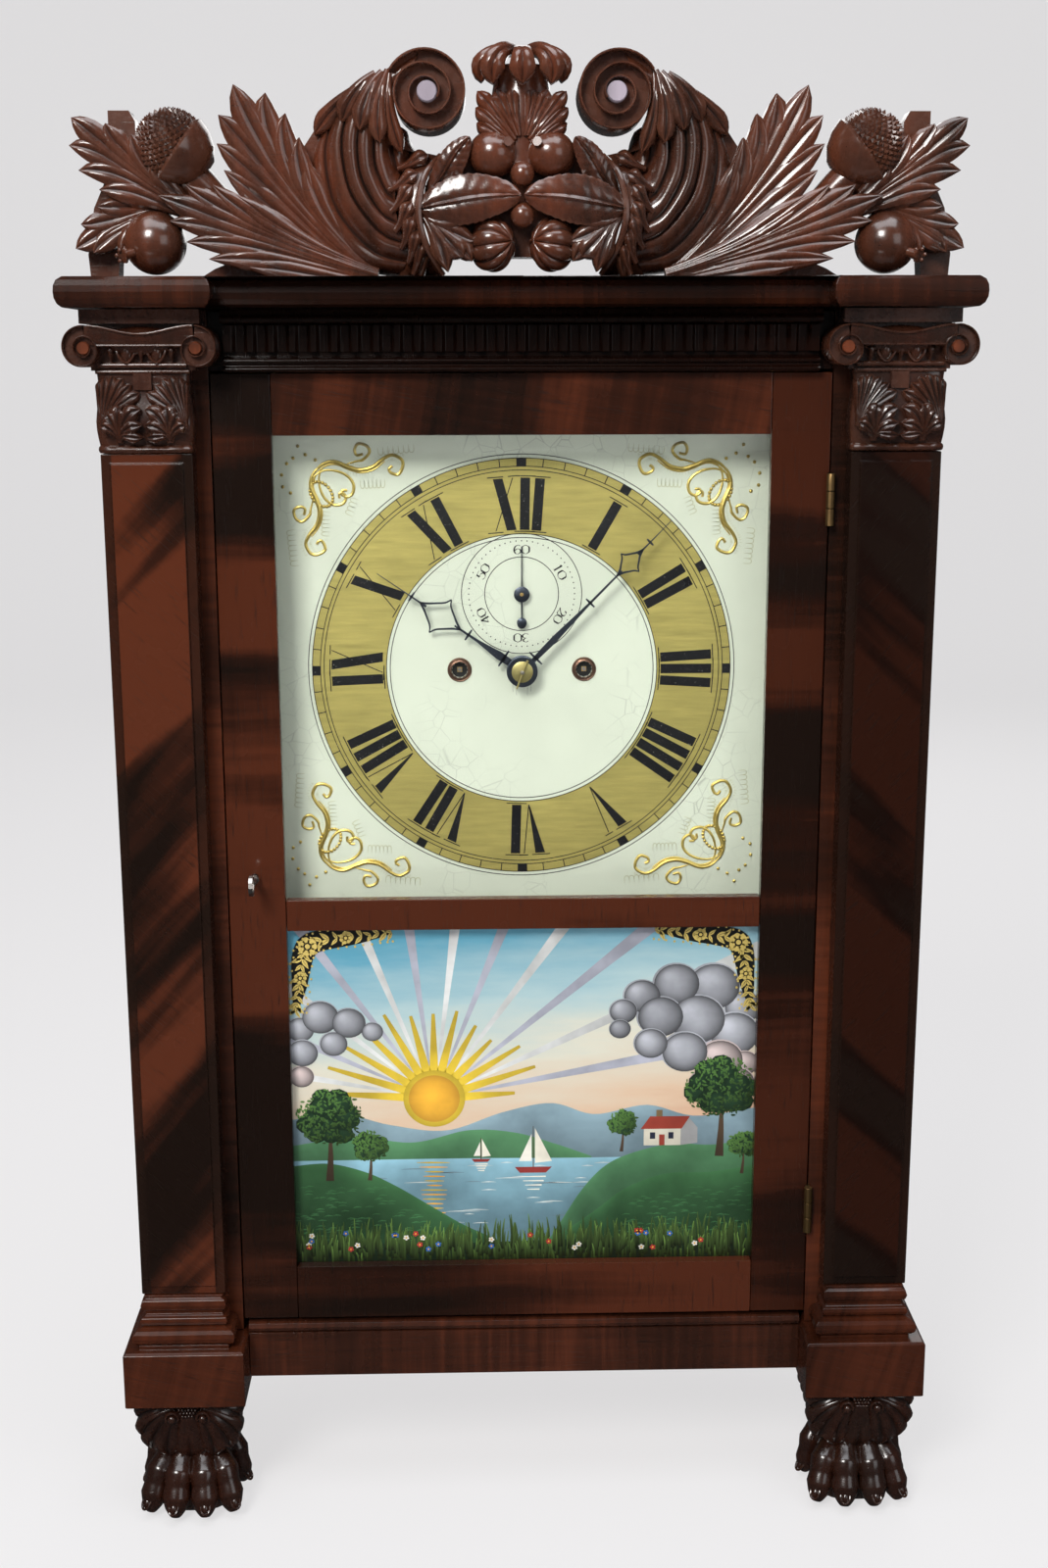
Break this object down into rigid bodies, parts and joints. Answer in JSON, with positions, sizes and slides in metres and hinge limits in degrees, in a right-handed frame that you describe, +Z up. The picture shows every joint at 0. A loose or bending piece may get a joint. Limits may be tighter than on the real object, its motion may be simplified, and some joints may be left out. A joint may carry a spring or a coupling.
{
  "type": "shelf clock",
  "caption": "Tall weight-driven shelf clock: mahogany case with pilasters, paw feet and carved crest, glazed door, painted dial, hands, striking movement, pendulum and weights.",
  "frame": {"origin": "on the floor under the centre of the clock's box, at the bottom of the feet", "axes": "+Z up, +X to the right seen from the front, +Y from the front of the clock to its back"},
  "size_m": [0.5302, 0.148, 0.9187],
  "materials": {
    "mahogany": "french polished mahogany, dark red brown",
    "secondary_wood": "bare pine and poplar",
    "brass": "lacquered brass",
    "steel": "bright iron, slightly dulled",
    "blued_steel": "blued steel",
    "cast_iron": "rough cast iron",
    "painted_dial": "oil painted wood, pale ivory with gilt",
    "window_glass": "old window glass",
    "painted_glass": "reverse painted glass, opaque paint behind a gloss face",
    "cord": "braided gut or hemp line",
    "bell_metal": "iron bell, darkened"
  },
  "bodies": {
    "case": {"left_side_board": "mahogany", "right_side_board": "mahogany", "left_pilaster": "mahogany", "right_pilaster": "mahogany", "left_plinth": "mahogany", "right_plinth": "mahogany", "left_capital": "mahogany", "right_capital": "mahogany", "frieze": "mahogany", "cornice": "mahogany", "bottom_rail": "mahogany", "left_paw_foot": "mahogany", "right_paw_foot": "mahogany", "crest": "mahogany", "back_board": "secondary_wood", "case_floor": "secondary_wood", "upper_hinge_case_leaf": "brass", "lower_hinge_case_leaf": "brass", "front_plate": "brass", "back_plate": "brass", "dial_board": "painted_dial", "bell": "bell_metal", "time_cord": "cord", "strike_cord": "cord", "time_cord_lead": "cord", "strike_cord_lead": "cord"},
    "door": {"door_left_stile": "mahogany", "door_right_stile": "mahogany", "door_top_rail": "mahogany", "door_middle_rail": "mahogany", "door_bottom_rail": "mahogany", "dial_glass": "window_glass", "picture_tablet": "painted_glass", "upper_hinge_door_leaf": "brass", "lower_hinge_door_leaf": "brass", "door_lock": "steel"},
    "key": {"door_key": "steel"},
    "bolt": {"lock_bolt": "steel"},
    "center": {"center_wheel": "brass", "minute_hand": "blued_steel"},
    "hour": {"hour_wheel": "brass", "hour_hand": "blued_steel"},
    "minute_work": {"minute_wheel": "brass"},
    "third": {"third_wheel": "brass"},
    "escape": {"escape_wheel": "brass", "seconds_hand": "blued_steel"},
    "time_great": {"time_great_wheel": "brass"},
    "time_drum": {"time_drum": "brass"},
    "anchor": {"anchor": "steel"},
    "pendulum": {"pendulum": "brass"},
    "strike_great": {"strike_great_wheel": "brass"},
    "strike_drum": {"strike_drum": "brass"},
    "pin": {"pin_wheel": "brass"},
    "warning": {"warning_wheel": "brass"},
    "fly": {"fly": "brass"},
    "hammer": {"hammer": "steel"},
    "time_weight": {"time_weight": "cast_iron"},
    "strike_weight": {"strike_weight": "cast_iron"},
    "time_pulley": {"time_pulley": "brass"},
    "strike_pulley": {"strike_pulley": "brass"}
  },
  "joints": [
    {"name": "door_swing", "type": "hinge", "parent": "case", "child": "door", "pos_m": [0.1846, -0.0371, 0.4336], "axis": [0, 0, 1], "range_deg": [0, 95]},
    {"name": "key_turn", "type": "hinge", "parent": "door", "child": "key", "pos_m": [-0.1676, -0.034, 0.42975], "axis": [0, 1, 0], "range_deg": [0, 90]},
    {"name": "bolt_slide", "type": "slide", "parent": "door", "child": "bolt", "axis": [-1, 0, 0], "range_m": [0, 0.005]},
    {"name": "center_turn", "type": "hinge", "parent": "case", "child": "center", "pos_m": [0, 0.027, 0.55475], "axis": [0, 1, 0], "continuous": true},
    {"name": "hour_turn", "type": "hinge", "parent": "case", "child": "hour", "pos_m": [0, 0.01, 0.55475], "axis": [0, 1, 0], "continuous": true},
    {"name": "minute_work_turn", "type": "hinge", "parent": "case", "child": "minute_work", "pos_m": [0.01273, 0.0142, 0.54202], "axis": [0, 1, 0], "continuous": true},
    {"name": "third_turn", "type": "hinge", "parent": "case", "child": "third", "pos_m": [0.00754, 0.032, 0.58068], "axis": [0, 1, 0], "continuous": true},
    {"name": "escape_turn", "type": "hinge", "parent": "case", "child": "escape", "pos_m": [0, 0.0356, 0.60235], "axis": [0, 1, 0], "continuous": true},
    {"name": "time_great_turn", "type": "hinge", "parent": "case", "child": "time_great", "pos_m": [0.03906, 0.022, 0.55475], "axis": [0, 1, 0], "continuous": true},
    {"name": "time_drum_turn", "type": "hinge", "parent": "case", "child": "time_drum", "pos_m": [0.03906, 0.036, 0.55475], "axis": [0, 1, 0], "continuous": true},
    {"name": "pendulum_swing", "type": "hinge", "parent": "case", "child": "pendulum", "pos_m": [0, 0.06, 0.62195], "axis": [0, 1, 0], "range_deg": [-4, 4]},
    {"name": "anchor_rock", "type": "hinge", "parent": "case", "child": "anchor", "pos_m": [0, 0.0356, 0.62195], "axis": [0, 1, 0], "range_deg": [-4, 4]},
    {"name": "pin_wheel_turn", "type": "hinge", "parent": "case", "child": "pin", "pos_m": [-0.03107, 0.041, 0.59298], "axis": [0, 1, 0], "continuous": true},
    {"name": "strike_great_turn", "type": "hinge", "parent": "case", "child": "strike_great", "pos_m": [-0.03906, 0.0464, 0.55475], "axis": [0, 1, 0], "continuous": true},
    {"name": "strike_drum_turn", "type": "hinge", "parent": "case", "child": "strike_drum", "pos_m": [-0.03906, 0.036, 0.55475], "axis": [0, 1, 0], "continuous": true},
    {"name": "warning_turn", "type": "hinge", "parent": "case", "child": "warning", "pos_m": [-0.03949, 0.032, 0.61562], "axis": [0, 1, 0], "continuous": true},
    {"name": "fly_turn", "type": "hinge", "parent": "case", "child": "fly", "pos_m": [-0.02538, 0.026, 0.62882], "axis": [0, 1, 0], "continuous": true},
    {"name": "hammer_lift", "type": "hinge", "parent": "case", "child": "hammer", "pos_m": [-0.067, 0.042, 0.61075], "axis": [0, 1, 0], "range_deg": [0, 12]},
    {"name": "time_weight_lift", "type": "slide", "parent": "case", "child": "time_weight", "axis": [0, 0, 1], "range_m": [0, 0.46], "deforming": ["time_cord"]},
    {"name": "strike_weight_lift", "type": "slide", "parent": "case", "child": "strike_weight", "axis": [0, 0, 1], "range_m": [0, 0.46], "deforming": ["strike_cord"]},
    {"name": "time_pulley_turn", "type": "hinge", "parent": "case", "child": "time_pulley", "pos_m": [0.17, 0.036, 0.7419], "axis": [0, 1, 0], "continuous": true},
    {"name": "strike_pulley_turn", "type": "hinge", "parent": "case", "child": "strike_pulley", "pos_m": [-0.17, 0.036, 0.7419], "axis": [0, 1, 0], "continuous": true}
  ],
  "couplings": [
    {"joint": "key_turn", "follows": "bolt_slide", "rad_per_m": 314.16},
    {"joint": "hour_turn", "follows": "center_turn", "ratio": 0.083333},
    {"joint": "minute_work_turn", "follows": "center_turn", "ratio": -0.33333},
    {"joint": "third_turn", "follows": "center_turn", "ratio": -8},
    {"joint": "escape_turn", "follows": "center_turn", "ratio": 60},
    {"joint": "time_great_turn", "follows": "center_turn", "ratio": -0.1},
    {"joint": "anchor_rock", "follows": "pendulum_swing", "ratio": 1},
    {"joint": "strike_great_turn", "follows": "pin_wheel_turn", "ratio": -0.1},
    {"joint": "warning_turn", "follows": "pin_wheel_turn", "ratio": -6},
    {"joint": "fly_turn", "follows": "pin_wheel_turn", "ratio": 36},
    {"joint": "time_drum_turn", "follows": "time_weight_lift", "rad_per_m": 209.42},
    {"joint": "time_pulley_turn", "follows": "time_weight_lift", "rad_per_m": -166.67},
    {"joint": "strike_drum_turn", "follows": "strike_weight_lift", "rad_per_m": -209.42},
    {"joint": "strike_pulley_turn", "follows": "strike_weight_lift", "rad_per_m": 166.67}
  ]
}
